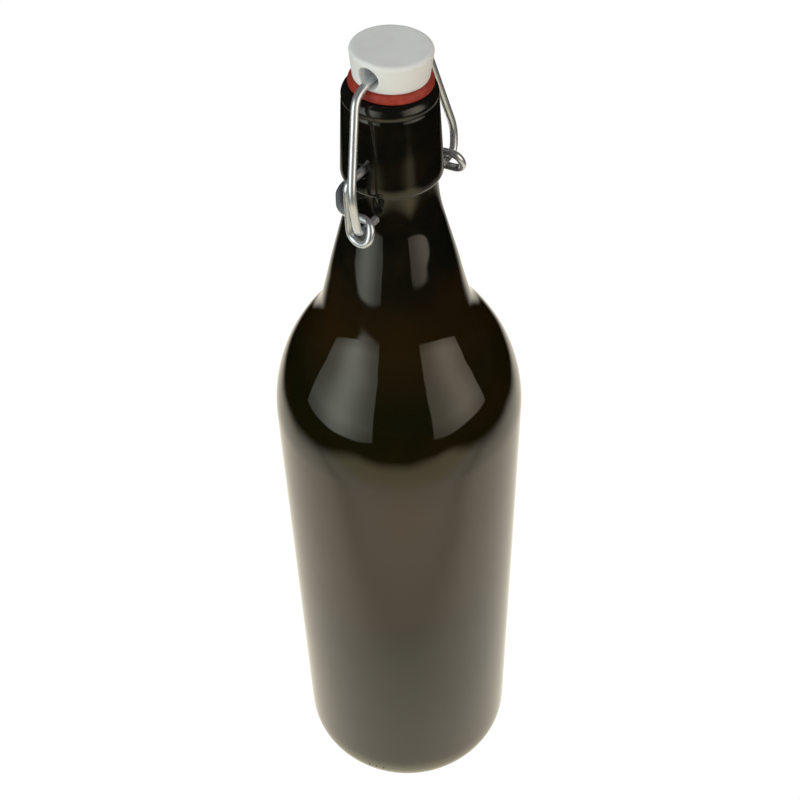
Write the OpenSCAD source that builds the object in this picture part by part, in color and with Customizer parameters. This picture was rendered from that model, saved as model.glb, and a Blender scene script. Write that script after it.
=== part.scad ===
// Swing top bottle: a glass bottle closed by a stopper on a two-wire toggle.
// Z is up, the foot stands on z = 0 and the bottle's axis is x = y = 0.
// The wires pivot about lines along X. The handle is on the -Y side of the neck.

/* [Glass body] */
// Outside diameter of the body
body_d = 84; // [78:1:92]
// Height at which the straight side ends
body_top_z = 194.6; // [170:1:210]
// Radius of the heel, seen in section
heel_r = 13; // [10:0.5:16]
// Wall thickness
wall = 3.6; // [3:0.1:4.2]
// Thickness of the bottom over the resting ring
bottom_t = 5; // [4:0.5:7]
// Width of the flat resting ring
rest_ring_w = 6; // [4:0.5:8]
// Depth of the hollow under the bottom
punt_depth = 3; // [2:0.5:4]

/* [Shoulder and neck] */
// Radius of the convex shoulder, in section
shoulder_r = 60; // [52:1:66]
// Radius of the hollow curve between the shoulder and the neck, in section
waist_r = 30; // [26:1:33]
// Slope of the neck from the vertical, in degrees
neck_slope = 14.6; // [13.5:0.1:16]
// Radius of the curve that ends the slope under the collar, in section
neck_blend_r = 60; // [50:1:70]
// Height from the end of the body's straight side to the end of the neck's slope
neck_len = 95.4; // [94:0.2:97]
// Height of the straight part of the neck under the collar
neck_straight = 1.2; // [1:0.1:3]
// Outside diameter of the neck just under the collar
neck_d = 26.8; // [26.4:0.1:27.4]

/* [Collar and mouth] */
// Height of the collar, from its lower edge to the lip
collar_h = 29.2; // [28:0.2:32]
// Diameter of the collar near its lower edge
collar_d = 30.4; // [30:0.1:31]
// Diameter of the collar below the lip's rounding
collar_top_d = 27.5; // [27:0.1:28.2]
// Rounding of the collar's lower edge
collar_edge_r = 1.2; // [0.8:0.1:1.3]
// Rounding of the outside of the lip
lip_r = 3; // [2:0.1:3.4]
// Rounding of the inside of the lip
lip_inner_r = 1.4; // [1:0.1:1.8]
// Diameter of the mouth's bore
mouth_d = 16.8; // [16.2:0.1:17.2]
// Depth of the groove round the collar below the lip
groove_depth = 0.3; // [0.2:0.05:0.4]

/* [Pivot dimples] */
// Distance from the lip down to the pivots
pivot_drop = 21.2; // [20.4:0.1:22]
// Depth of the pin's socket, from the collar's widest surface
socket_depth = 2.9; // [2.5:0.1:3.2]
// Length of the socket's straight bore
socket_len = 1; // [0.8:0.1:1.2]
// Diameter of the dimple's open mouth
dimple_d = 6.4; // [5.6:0.1:6.8]

/* [Wire] */
// Diameter of both wires
wire_d = 2.4; // [2.2:0.1:2.5]
// Running clearance round a pin in its socket, on the radius
pin_clear = 0.08; // [0.05:0.01:0.1]
// Space kept between wire pieces that pass each other
pass_gap = 0.3; // [0.2:0.05:0.4]

/* [Stopper] */
// Diameter of the head at the top
head_d = 23.4; // [22.4:0.1:23.6]
// Height of the head
head_h = 8.8; // [8.6:0.1:9.6]
// Draft of the head, on the radius
head_draft = 0.9; // [0.6:0.1:1.1]
// Rounding of the head's top edge
head_edge_r = 1.1; // [0.8:0.1:1.4]
// Diameter of the stem where it enters the mouth
stem_d = 14.2; // [13.4:0.1:14.6]
// Length of the stem below the gasket
stem_len = 6; // [5.4:0.1:6.4]
// Taper of the stem, on the radius
stem_taper = 1.8; // [1.4:0.1:2.2]
// Diameter of the cross hole
cross_hole_d = 5; // [4.8:0.1:5.2]
// Diameter of the flared ends of the cross hole
flare_d = 7; // [6.6:0.1:7.2]
// Depth of each flare
flare_depth = 3; // [2.6:0.1:3.2]

/* [Gasket] */
// Thickness of the gasket
gasket_t = 2.4; // [2.2:0.1:2.8]
// Outside diameter of the gasket at its lower edge
gasket_d = 24.2; // [23.8:0.1:24.8]
// Inside diameter of the gasket
gasket_hole_d = 11.6; // [11.2:0.1:12]
// Space left under the gasket for the squeeze as the toggle passes its dead centre
squeeze_gap = 0.55; // [0.55:0.05:0.7]
// Clearance between the gasket's hole and the stopper, on the radius
gasket_clear = 0.05; // [0.03:0.01:0.1]

/* [Toggle] */
// Height of the pivots above the bail's hinge line
eye_drop = 14.4; // [14:0.1:15]
// How far the bail's hinge line lies past the dead centre
over_centre = 4.8; // [4.4:0.1:4.9]
// Half the distance between the outsides of the bail's legs, to the wire's centre
bail_half_w = 25.9; // [25.6:0.1:26.6]
// Half the width of the bail where it turns down beside the stopper
bail_top_half_w = 15.8; // [15.4:0.1:16.4]
// Half the length of the bail's straight run through the stopper
bail_run_half_w = 9.3; // [9:0.1:9.6]
// How far the bail dips between that run and the turn
bail_dip = 2.2; // [1.8:0.1:2.4]
// Height of the kink in the bail's legs above its hinge line
kink_h = 14.5; // [13:0.5:16]
// Half the width of the bail at its hooked ends, to the wire's centre
hook_half_w = 23.8; // [23.8:0.1:24.4]
// Length of the bail's hooked ends
hook_len = 9; // [8.6:0.1:9.2]
// Width of the eyes of the lever, between the wire's centres
eye_w = 7.1; // [7:0.1:7.4]
// Height of the eyes of the lever, between the wire's centres
eye_h = 7.7; // [7.5:0.1:8.1]
// Half the distance between the upright arms of the lever, to the wire's centre
arm_half_w = 21.6; // [21.4:0.1:21.8]
// Distance that the bow reaches out from the bottle's axis
bow_reach = 18; // [17.8:0.1:19.4]
// Distance that the bow hangs below the pivots
bow_drop = 20.4; // [19.4:0.2:21]

/* [Hidden] */
$fn = 96;
cut = 1;

neck_r = neck_d / 2;
collar_r = collar_d / 2;
body_r = body_d / 2;
mouth_r = mouth_d / 2;
wire_r = wire_d / 2;

// ---- Section of the bottle: tangent arcs, worked out from the collar down ----
// The neck's slope meets the shoulder through the waist. Its place follows from the shoulder's.
slope_dir = [sin(neck_slope), -cos(neck_slope)];
slope_out = [cos(neck_slope), sin(neck_slope)];
shoulder_c = [body_r - shoulder_r, body_top_z];

// Where the slope starts, below the blend curve whose centre is at height z
function slope_start(z) =
    [neck_r + neck_blend_r * (1 - cos(neck_slope)), z - neck_blend_r * sin(neck_slope)];
// Centre of the waist curve: it touches the slope and the shoulder
function waist_centre(z) =
    let (w = slope_start(z) + waist_r * slope_out - shoulder_c,
         along = w * slope_dir,
         reach = shoulder_r + waist_r)
    shoulder_c + w + slope_dir * (-along - sqrt(along * along - w * w + reach * reach));

blend_z = body_top_z + neck_len;
collar_z = blend_z + neck_straight;
lip_z = collar_z + collar_h;
waist_c = waist_centre(blend_z);
waist_dir = waist_c - shoulder_c;
shoulder_end = atan2(waist_dir[1], waist_dir[0]);

function arc(c, r, from, to, steps) =
    [for (i = [0:steps]) let (a = from + (to - from) * i / steps) c + r * [cos(a), sin(a)]];

// Shoulder to neck at a depth t inside the outer surface, from the body up
function flank(t, steps) = concat(
    arc(shoulder_c, shoulder_r - t, 0, shoulder_end, steps),
    arc(waist_c, waist_r + t, 180 + shoulder_end, 180 + neck_slope, steps),
    arc([neck_r + neck_blend_r, blend_z], neck_blend_r + t, 180 + neck_slope, 180, steps));

flank_steps = 14;
corner_steps = 8;
groove_half_h = 1;
groove_z = lip_z - lip_r - groove_half_h;
edge_r = min(collar_edge_r, collar_r - neck_r - 0.1);
lip_c = [collar_top_d / 2 - lip_r, lip_z - lip_r];
bore_run_below = 4;
bore_end_z = collar_z + bore_run_below;
// The collar bulges at its foot and thins under the ring groove
bulge_in = 0.2;
bulge_h = collar_h * 0.2;
groove_out_h = 0.6;
groove_step = 0.1;

outer_section = concat(
    [[0, 0]],
    [[body_r - heel_r, 0]],
    arc([body_r - heel_r, heel_r], heel_r, -90, 0, 2 * corner_steps),
    flank(0, flank_steps),
    [[neck_r, collar_z]],
    arc([collar_r - edge_r, collar_z + edge_r], edge_r, -90, 0, corner_steps),
    [[collar_r - bulge_in, collar_z + bulge_h]],
    [[collar_top_d / 2 + groove_step, groove_z - groove_half_h]],
    [[collar_top_d / 2 - groove_depth, groove_z]],
    [[collar_top_d / 2, groove_z + groove_out_h]],
    arc(lip_c, lip_r, 0, 90, corner_steps),
    [[0, lip_z]]);

heel_thickening = 2;
neck_root_drop = 1;
inner_heel_r = heel_r - wall + heel_thickening;
inner_section = concat(
    [[0, bottom_t]],
    [[body_r - wall - inner_heel_r, bottom_t]],
    arc([body_r - wall - inner_heel_r, bottom_t + inner_heel_r], inner_heel_r, -90, 0, 2 * corner_steps),
    flank(wall, flank_steps),
    [[neck_r - wall, collar_z - neck_root_drop]],
    [[mouth_r, bore_end_z]],
    [[mouth_r, lip_z - lip_inner_r]],
    arc([mouth_r + lip_inner_r, lip_z - lip_inner_r], lip_inner_r, 180, 90, corner_steps),
    [[mouth_r + lip_inner_r, lip_z + cut]],
    [[0, lip_z + cut]]);

// ---- Hinge lines and stack heights ----
pivot_z = lip_z - pivot_drop;
gasket_z = lip_z + squeeze_gap;
head_z = gasket_z + gasket_t;
head_top_z = head_z + head_h;
flare_floor = 0.1;
groove_r = gasket_hole_d / 2 - gasket_clear;
head_low_r = head_d / 2 - head_draft;
cross_z = head_z + flare_d / 2 + flare_floor;
// The bail lies on the floor of the cross hole
floor_clear = 0.12;
bail_z = cross_z - cross_hole_d / 2 + wire_r + floor_clear;
eye_y = over_centre;
eye_z = pivot_z - eye_drop;
// The bail's hook lies against the front of the lever's eye
eye_front_y = eye_y + wire_d + pass_gap;
eye_back_y = eye_front_y - eye_w;
hook_drop = 3.5;
eye_top_z = eye_z + hook_drop;
eye_low_z = eye_top_z - eye_h;

// ---- Wire bending ----
bend_thinning = 0.03;
bend_run_in = 0.3;
function unit(v) = v / norm(v);
function turn_angle(a, b, c) = acos(max(-1, min(1, unit(b - a) * unit(c - b))));
// Length of straight that a bend at b uses on each side
function bend_trim(a, b, c, r) = r * tan(turn_angle(a, b, c) / 2);

module along(p, d) {
    translate(p)
        rotate([0, acos(d[2]), atan2(d[1], d[0])])
            children();
}

module straight_wire(p, q) {
    along(p, unit(q - p))
        cylinder(h = norm(q - p), r = wire_r);
}

// Bend at b between the straights from a and to c. Bending draws the wire slightly thinner,
// and each end of the bend runs a little way into its straight.
module bent_wire(a, b, c, r) {
    u = unit(b - a);
    v = unit(c - b);
    n = unit(cross(u, v));
    start = b - u * bend_trim(a, b, c, r);
    inward = cross(n, u);
    centre = start + inward * r;
    tilt = acos(n[2]);
    spin = atan2(n[1], n[0]);
    w = -inward;
    flat = [w[0] * cos(spin) + w[1] * sin(spin), -w[0] * sin(spin) + w[1] * cos(spin), w[2]];
    lead = [flat[0] * cos(tilt) - flat[2] * sin(tilt), flat[1]];
    run_in = asin(bend_run_in / r);
    translate(centre)
        rotate([0, tilt, spin])
            rotate([0, 0, atan2(lead[1], lead[0]) - run_in])
                rotate_extrude(angle = turn_angle(a, b, c) + 2 * run_in, $fn = 180)
                    translate([r, 0])
                        circle(r = wire_r - bend_thinning, $fn = 32);
}

// Wire through points p, with a bend of radius r[i] at each point between the ends
module wire_path(p, r) {
    last = len(p) - 1;
    trims = [for (i = [0:last]) i == 0 || i == last ? 0 : bend_trim(p[i - 1], p[i], p[i + 1], r[i])];
    for (i = [0:last - 1]) {
        d = unit(p[i + 1] - p[i]);
        straight_wire(p[i] + d * trims[i], p[i + 1] - d * trims[i + 1]);
    }
    for (i = [1:last - 1])
        bent_wire(p[i - 1], p[i], p[i + 1], r[i]);
}

function mirrored(p) = [for (i = [len(p) - 1:-1:0]) [-p[i][0], p[i][1], p[i][2]]];
function backwards(r) = [for (i = [len(r) - 1:-1:0]) r[i]];

// Bail, from the tip of the +X hook to the middle of the cross hole
hook_bend_r = 2.6;
kink_bend_r = 14;
top_bend_r = 5.4;
run_bend_r = 6;
bail_half = [
    [hook_half_w - hook_len, eye_y, eye_z],
    [hook_half_w, eye_y, eye_z],
    [bail_half_w, eye_y, eye_z + kink_h],
    [bail_top_half_w, 0, bail_z - bail_dip],
    [bail_run_half_w, 0, bail_z]];
bail_bends = [0, hook_bend_r, kink_bend_r, top_bend_r, run_bend_r];

// Lever, from the +X pivot pin to the bow
pin_tip_gap = 0.3;
pin_tip_x = collar_r - socket_depth + pin_tip_gap;
strand_x = arm_half_w - wire_d;
eye_out = 0.4;
eye_lean = 1.1;
eye_in = 1;
eye_bend_r = 3;
pin_bend_r = 2;
// The strand bends twice on its way to the bow
strand_y = -4.9;
strand_drop = 13.1;
strand_bend_r = 7;
shoulder_x = 10.3;
shoulder_y = -12;
shoulder_drop = 15.1;
bow_bend_r = 8;
lever_half = [
    [pin_tip_x, 0, pivot_z],
    [arm_half_w, 0, pivot_z],
    [arm_half_w + eye_out, eye_back_y, eye_low_z],
    [arm_half_w + eye_out + eye_lean, eye_front_y, eye_low_z],
    [strand_x + eye_in, eye_front_y, eye_top_z],
    [strand_x, strand_y, pivot_z - strand_drop],
    [shoulder_x, shoulder_y, pivot_z - shoulder_drop],
    [0, -bow_reach, pivot_z - bow_drop]];
lever_bends =
    [0, pin_bend_r, eye_bend_r, eye_bend_r, eye_bend_r, strand_bend_r, bow_bend_r, bow_bend_r];

// Socket of the pivot pin, opening out to the collar's surface
module dimple() {
    socket_r = wire_r + pin_clear;
    rim_land = 0.2;
    translate([collar_r - socket_depth, 0, pivot_z])
        rotate([0, 90, 0])
            rotate_extrude()
                polygon([
                    [0, 0],
                    [socket_r, 0],
                    [socket_r, socket_len],
                    [dimple_d / 2, socket_depth - rim_land],
                    [dimple_d / 2, socket_depth + cut],
                    [0, socket_depth + cut]]);
}

module glass_bottle() {
    color([0.16, 0.09, 0.04])
    difference() {
        rotate_extrude()
            polygon(outer_section);
        rotate_extrude()
            polygon(inner_section);
        punt();
        dimple();
        mirror([1, 0, 0])
            dimple();
    }
}

// The hollow under the bottom is a cap of a sphere
module punt() {
    r = body_r - heel_r - rest_ring_w;
    sphere_r = (r * r + punt_depth * punt_depth) / (2 * punt_depth);
    translate([0, 0, punt_depth - sphere_r])
        sphere(r = sphere_r, $fn = 180);
}

module stopper() {
    stem_r = stem_d / 2;
    foot_z = gasket_z - stem_len;
    foot_r = stem_r - stem_taper;
    foot_chamfer = 1;
    flange_h = 1;
    flange_in = 0.4;
    color([0.86, 0.86, 0.84])
    difference() {
        rotate_extrude()
            polygon(concat(
                [[0, foot_z]],
                [[foot_r - foot_chamfer, foot_z]],
                [[foot_r, foot_z + foot_chamfer]],
                [[stem_r, gasket_z - flange_h]],
                [[stem_r - flange_in, gasket_z]],
                [[groove_r, gasket_z]],
                [[groove_r, head_z]],
                [[head_low_r, head_z]],
                arc([head_d / 2 - head_edge_r, head_top_z - head_edge_r], head_edge_r, 0, 90, corner_steps),
                [[0, head_top_z]]));
        cross_hole();
    }
}

// Hole for the bail, flared at both ends
module cross_hole() {
    hole_r = cross_hole_d / 2;
    reach = head_d / 2;
    translate([0, 0, cross_z])
        rotate([0, 90, 0])
            rotate_extrude()
                polygon([
                    [0, -reach],
                    [flare_d / 2, -reach],
                    [hole_r, flare_depth - reach],
                    [hole_r, reach - flare_depth],
                    [flare_d / 2, reach],
                    [0, reach]]);
}

module gasket() {
    edge = 0.5;
    overhang = 0.6;
    color([0.70, 0.24, 0.20])
    rotate_extrude()
        polygon([
            [gasket_hole_d / 2, gasket_z],
            [gasket_d / 2 - edge, gasket_z],
            [gasket_d / 2, gasket_z + edge],
            [head_low_r + overhang, head_z],
            [gasket_hole_d / 2, head_z]]);
}

module bail_wire() {
    color([0.72, 0.72, 0.72])
    wire_path(concat(bail_half, mirrored(bail_half)), concat(bail_bends, backwards(bail_bends)));
}

module lever_wire() {
    bow = len(lever_half) - 1;
    side = [for (i = [0:bow - 1]) lever_half[i]];
    side_bends = [for (i = [0:bow - 1]) lever_bends[i]];
    color([0.66, 0.66, 0.67])
    wire_path(
        concat(side, [lever_half[bow]], mirrored(side)),
        concat(side_bends, [lever_bends[bow]], backwards(side_bends)));
}

glass_bottle();
stopper();
gasket();
bail_wire();
lever_wire();
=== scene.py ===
"""Looks of a swing top bottle: brown glass, stopper, gasket and the two wires of its toggle.

Sizes are written in millimetres, as a glassworks drawing gives them, and meshes are made in metres
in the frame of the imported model: the bottle stands on z = 0 about the Z axis, the wires pivot about
lines along X, and the handle is on the -Y side.
"""

import logging
import math
from dataclasses import dataclass, field
from enum import Enum
from typing import Any, Callable, Dict, List, Optional, Sequence, Tuple, Union

import bpy
import numpy as np
from mathutils import Matrix, Vector, noise

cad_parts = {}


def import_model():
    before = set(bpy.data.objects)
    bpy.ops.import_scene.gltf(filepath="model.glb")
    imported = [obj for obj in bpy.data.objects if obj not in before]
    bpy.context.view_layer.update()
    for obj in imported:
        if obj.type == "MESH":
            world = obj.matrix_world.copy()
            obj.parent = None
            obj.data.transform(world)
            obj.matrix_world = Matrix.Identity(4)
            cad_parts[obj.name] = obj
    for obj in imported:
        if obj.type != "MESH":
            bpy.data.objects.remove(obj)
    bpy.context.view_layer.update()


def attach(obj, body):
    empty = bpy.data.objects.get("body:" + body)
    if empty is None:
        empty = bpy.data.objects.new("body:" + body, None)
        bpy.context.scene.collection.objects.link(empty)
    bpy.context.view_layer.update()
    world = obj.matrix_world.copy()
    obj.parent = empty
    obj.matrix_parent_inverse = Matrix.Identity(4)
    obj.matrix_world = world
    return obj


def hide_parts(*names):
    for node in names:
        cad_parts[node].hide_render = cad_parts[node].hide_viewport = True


LOG = logging.getLogger("swing_top_bottle")
MM = 0.001  # a millimetre, in metres

# The plug sits askew: it leans towards LEAN_TO about the seat on the lip, and is shifted that way.
LEAN_DEG = 2.3
LEAN_TO = (-0.5906, 0.8070, 0.0)
SHIFT = 0.4
SEAT_Z = 320.6

Colour = Tuple[float, float, float]
Point = Tuple[float, float, float]
Pair = Tuple[float, float]
Row = Tuple[float, ...]
Zone = Tuple[float, float, float, float]
Profile = Tuple[Row, Row]
Value = Union["Wire", float]
Obj = bpy.types.Object
Socket = bpy.types.NodeSocket
Material = bpy.types.Material


class Body(Enum):
    """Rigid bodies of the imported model."""

    BOTTLE = "bottle"
    LEVER = "lever"
    BAIL = "bail"
    PLUG = "plug"


class Slot(Enum):
    """Material slots of the record."""

    GLASS = "brown_glass"
    STOPPER = "white_stopper"
    RUBBER = "red_rubber"
    BAIL = "bail_steel"
    LEVER = "lever_steel"


def math_method(operation: str, reflected: bool = False) -> Callable[["Wire", Value], "Wire"]:
    """Makes a method of Wire that adds one Math node.

    Args:
        operation: the Math node's operation.
        reflected: whether the wire is the node's second value.
    Returns:
        The method.
    """

    def apply(wire: "Wire", other: Value = 0.0) -> "Wire":
        """Adds the node to the wire's graph.

        Args:
            wire: the wire that the method is called on.
            other: the second value, where the operation takes one.
        Returns:
            The result.
        """
        left, right = (other, wire) if reflected else (wire, other)
        made = wire.graph.node("ShaderNodeMath", {0: left, 1: right}, operation=operation)
        return Wire(wire.graph, made.outputs[0])

    return apply


class Wire:
    """A shader value: arithmetic on it adds Math nodes to its graph."""

    __add__, __radd__ = math_method("ADD"), math_method("ADD", True)
    __sub__, __rsub__ = math_method("SUBTRACT"), math_method("SUBTRACT", True)
    __mul__, __truediv__ = math_method("MULTIPLY"), math_method("DIVIDE")
    cos, sin, exp = math_method("COSINE"), math_method("SINE"), math_method("EXPONENT")
    magnitude, at_least = math_method("ABSOLUTE"), math_method("MAXIMUM")

    def __init__(self, graph: "ShaderGraph", socket: Socket) -> None:
        """Args: graph: the graph that owns the socket. socket: an output socket."""
        self.graph = graph
        self.socket = socket

    def step(self, low: float, high: float) -> "Wire":
        """Smooth step.

        Args:
            low: gives 0, as every smaller value does.
            high: gives 1, as every larger value does.
        Returns:
            The step.
        """
        made = self.graph.node(
            "ShaderNodeMapRange",
            {"Value": self, "From Min": low, "From Max": high},
            interpolation_type="SMOOTHSTEP",
        )
        return Wire(self.graph, made.outputs["Result"])

    def band(self, zone: Zone) -> "Wire":
        """1 inside a zone: fades in between its first two values and out between its last two."""
        return self.step(zone[0], zone[1]) * (1 - self.step(zone[2], zone[3]))

    def bell(self) -> "Wire":
        """Bell curve: 1 at 0, and 1/e at a distance of 1."""
        return (self * self * -1.0).exp()


class NodeGraph:
    """Adds nodes to a tree and fills their sockets."""

    def __init__(self, tree: bpy.types.NodeTree) -> None:
        """Args: tree: the tree, which loses the nodes that it starts with."""
        self.tree = tree
        tree.nodes.clear()

    def node(
        self, kind: str, inputs: Optional[Dict[Any, Any]] = None, **settings: Any
    ) -> bpy.types.Node:
        """Adds a node, sets it up, then fills its sockets.

        Args:
            kind: the node's type.
            inputs: socket name or index to a value, a Wire or a socket.
            settings: the node's own properties.
        Returns:
            The node.
        """
        made = self.tree.nodes.new(kind)
        for key, value in settings.items():
            setattr(made, key, value)
        for key, value in (inputs or {}).items():
            self.feed(made.inputs[key], value)
        return made

    def feed(self, socket: Socket, value: Any) -> None:
        """Links or sets one input socket.

        Args:
            socket: an input socket.
            value: a Wire, a socket or a plain value.
        """
        if isinstance(value, Wire):
            self.tree.links.new(value.socket, socket)
        elif isinstance(value, Socket):
            self.tree.links.new(value, socket)
        else:
            socket.default_value = value


class ShaderGraph(NodeGraph):
    """Builds one material's node tree."""

    def __init__(self, name: str) -> None:
        """Args: name: the material's name."""
        self.material = bpy.data.materials.new(name)
        self.material.use_nodes = True
        super().__init__(self.material.node_tree)

    def coords(self) -> Socket:
        """Object coordinates."""
        return self.node("ShaderNodeTexCoord").outputs["Object"]

    def grain(
        self, size_mm: float, detail: float = 2.0, vector: Any = None, rough: float = 0.5
    ) -> Wire:
        """Noise between 0 and 1.

        Args:
            size_mm: size of its larger features.
            detail: octaves.
            vector: where it is read, or object coordinates when left out.
            rough: weight of the finer octaves.
        Returns:
            The noise value.
        """
        made = self.node(
            "ShaderNodeTexNoise",
            {
                "Vector": vector if vector is not None else self.coords(),
                "Scale": 1.0 / (size_mm * MM),
                "Detail": detail,
                "Roughness": rough,
            },
        )
        return Wire(self, made.outputs[0])

    def attribute(self, name: str) -> Wire:
        """A number stored on the mesh."""
        made = self.node("ShaderNodeAttribute", attribute_name=name)
        return Wire(self, made.outputs["Fac"])

    def height(self) -> Wire:
        """Height above the foot, in metres."""
        split = self.node("ShaderNodeSeparateXYZ", {"Vector": self.coords()})
        return Wire(self, split.outputs["Z"])

    def combine(self, x: Value, y: Value, z: Value) -> Socket:
        """A vector from three values."""
        return self.node("ShaderNodeCombineXYZ", {"X": x, "Y": y, "Z": z}).outputs[0]

    def mix(self, factor: Value, a: Any, b: Any) -> Socket:
        """Mixes two colours.

        Args:
            factor: 0 gives a, 1 gives b.
            a: colour or socket.
            b: colour or socket.
        Returns:
            The mixed colour's socket.
        """
        first = (*a, 1.0) if isinstance(a, tuple) else a
        second = (*b, 1.0) if isinstance(b, tuple) else b
        # The node's colour sockets share their names with others, so they are taken by number.
        made = self.node("ShaderNodeMix", {0: factor, 6: first, 7: second}, data_type="RGBA")
        return made.outputs[2]

    def bump(self, height: Wire, depth_mm: float, before: Any = None) -> Socket:
        """A bump of a real depth.

        Args:
            height: pattern from 0 to 1.
            depth_mm: height of the pattern.
            before: normal of an earlier bump.
        Returns:
            The normal's socket.
        """
        inputs: Dict[Any, Any] = {"Height": height, "Distance": depth_mm * MM}
        if before is not None:
            inputs["Normal"] = before
        return self.node("ShaderNodeBump", inputs).outputs["Normal"]

    def finish(self, constants: Dict[str, Any], varying: Dict[str, Any]) -> Material:
        """Ends the graph in a Principled shader.

        Args:
            constants: values set on the shader's own sockets.
            varying: links for what changes over the surface.
        Returns:
            The material.
        """
        shader = self.node("ShaderNodeBsdfPrincipled", {**constants, **varying})
        self.node("ShaderNodeOutputMaterial", {"Surface": shader.outputs[0]})
        return self.material


@dataclass(frozen=True)
class GlassFinish:
    """Very dark brown bottle glass with a fire-polished surface. Zones are heights in metres."""

    # Collar and upper neck, and the patches there.
    thick: Colour = (0.0042, 0.0045, 0.0034)
    tea: Colour = (0.0125, 0.0085, 0.0045)
    # Everything below them, and the patches there.
    deep: Colour = (0.0060, 0.0060, 0.0014)
    umber: Colour = (0.0130, 0.0086, 0.0020)
    # Lighter glass at the chest, round the belly and over the heel.
    brown: Colour = (0.024, 0.0120, 0.0035)
    warm: Colour = (0.034, 0.0155, 0.0045)
    pale: Colour = (0.165, 0.167, 0.105)
    chest: Zone = (0.220, 0.240, 0.250, 0.268)
    belly: Zone = (0.095, 0.165, 0.178, 0.205)
    heel: Zone = (0.0045, 0.008, 0.009, 0.019)
    neck: Pair = (0.235, 0.275)
    sheen: Colour = (1.0, 0.97, 0.90)
    ior: float = 1.52
    smooth: float = 0.03
    handled: float = 0.09
    lip: Pair = (0.3145, 0.3175)
    lip_rough: float = 0.16
    # The body is smoother than the blown shoulder and neck above this.
    blown: Pair = (0.185, 0.215)
    long_wave_mm: float = 0.16
    short_wave_mm: float = 0.2

    def colour(self, g: ShaderGraph, z: Wire) -> Socket:
        """Nearly black where the glass is thick, warmer and patchy below the shoulder.

        Args:
            g: the glass's graph.
            z: height above the foot.
        Returns:
            The colour's socket.
        """
        cloud = g.grain(38, 3).step(0.3, 0.75)
        blotch = g.grain(55, 3, rough=0.6).step(0.4, 0.66)
        patchy = g.grain(14, 3, rough=0.6).step(0.42, 0.8)
        chest = z.band(self.chest) * (0.5 + blotch * 0.5)
        belly = z.band(self.belly) * (0.55 + cloud * 0.45)
        body = g.mix(chest, g.mix(blotch, self.deep, self.umber), self.brown)
        body = g.mix(belly, body, self.warm)
        body = g.mix(z.band(self.heel), body, self.pale)
        return g.mix(z.step(*self.neck), body, g.mix(patchy, self.thick, self.tea))

    def material(self) -> Material:
        """Brown glass with ripples and the smears of handling.

        Returns:
            The material.
        """
        g = ShaderGraph("brown_glass")
        z = g.height()
        smears = g.grain(9, 4, rough=0.62).step(0.48, 0.85)
        rough = self.smooth + smears * (self.handled - self.smooth)
        long_waves = g.bump(g.grain(34, 1), self.long_wave_mm)
        short_waves = g.grain(15, 1) * z.step(*self.blown)
        return g.finish(
            {"IOR": self.ior, "Specular Tint": (*self.sheen, 1.0)},
            {
                "Base Color": self.colour(g, z),
                "Roughness": rough + z.step(*self.lip) * self.lip_rough,
                "Normal": g.bump(short_waves, self.short_wave_mm, long_waves),
            },
        )


@dataclass(frozen=True)
class StopperFinish:
    """Matt white moulded stopper."""

    white: Colour = (0.785, 0.795, 0.795)
    worn: Colour = (0.735, 0.74, 0.735)
    matt: float = 0.5
    matt_range: float = 0.16
    grain_mm: float = 0.35
    grain_depth_mm: float = 0.012

    def material(self) -> Material:
        """Matt white with a cloudy tone and a fine moulded grain.

        Returns:
            The material.
        """
        g = ShaderGraph("white_stopper")
        tone = g.grain(7, 4).step(0.3, 0.75)
        grain = g.bump(g.grain(self.grain_mm, 2), self.grain_depth_mm)
        rough = self.matt + g.grain(3, 3) * self.matt_range
        return g.finish(
            {
                "IOR": 1.45,
                "Subsurface Weight": 0.25,
                "Subsurface Scale": 0.0012,
                "Subsurface Radius": (1.0, 0.9, 0.8),
            },
            {"Base Color": g.mix(tone, self.white, self.worn), "Roughness": rough, "Normal": grain},
        )


@dataclass(frozen=True)
class RubberFinish:
    """Red-orange gasket rubber."""

    red: Colour = (0.29, 0.024, 0.013)
    dusty: Colour = (0.42, 0.055, 0.034)
    satin: float = 0.46
    satin_range: float = 0.2
    skin_mm: float = 0.3
    skin_depth_mm: float = 0.02

    def material(self) -> Material:
        """Satin rubber with a dusty bloom and a fine skin.

        Returns:
            The material.
        """
        g = ShaderGraph("red_rubber")
        bloom = g.grain(2.4, 4).step(0.4, 0.8)
        skin = g.bump(g.grain(self.skin_mm, 3), self.skin_depth_mm)
        return g.finish(
            {"IOR": 1.42},
            {
                "Base Color": g.mix(bloom, self.red, self.dusty),
                "Roughness": self.satin + g.grain(1.2, 2) * self.satin_range,
                "Normal": skin,
            },
        )


@dataclass(frozen=True)
class SteelFinish:
    """Bright drawn steel wire."""

    name: str
    bright: Colour = (0.63, 0.655, 0.69)
    dull: Colour = (0.57, 0.585, 0.61)
    metal: float = 0.70
    polish: float = 0.22
    # The noise is read on a cylinder of this radius, drawn out by this much for a metre of wire,
    # which stretches it into lines.
    lines_round: float = 7.0
    lines_along: float = 60.0
    line_depth_mm: float = 0.0005

    def material(self) -> Material:
        """Drawn wire: fine lines run along it, and the zinc is cloudy.

        Returns:
            The material.
        """
        g = ShaderGraph(self.name)
        turn, r = g.attribute("around") * math.tau, self.lines_round
        along = g.attribute("along") * self.lines_along
        lines = g.grain(1000, 3, g.combine(turn.cos() * r, turn.sin() * r, along), 0.6)
        dirt = g.grain(5, 2).step(0.45, 0.8)
        return g.finish(
            {"IOR": 1.6},
            {
                "Metallic": self.metal + lines * 0.06,
                "Base Color": g.mix(dirt, self.bright, self.dull),
                "Roughness": self.polish + lines * 0.04 + dirt * 0.05,
                "Normal": g.bump(lines, self.line_depth_mm),
            },
        )


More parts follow.
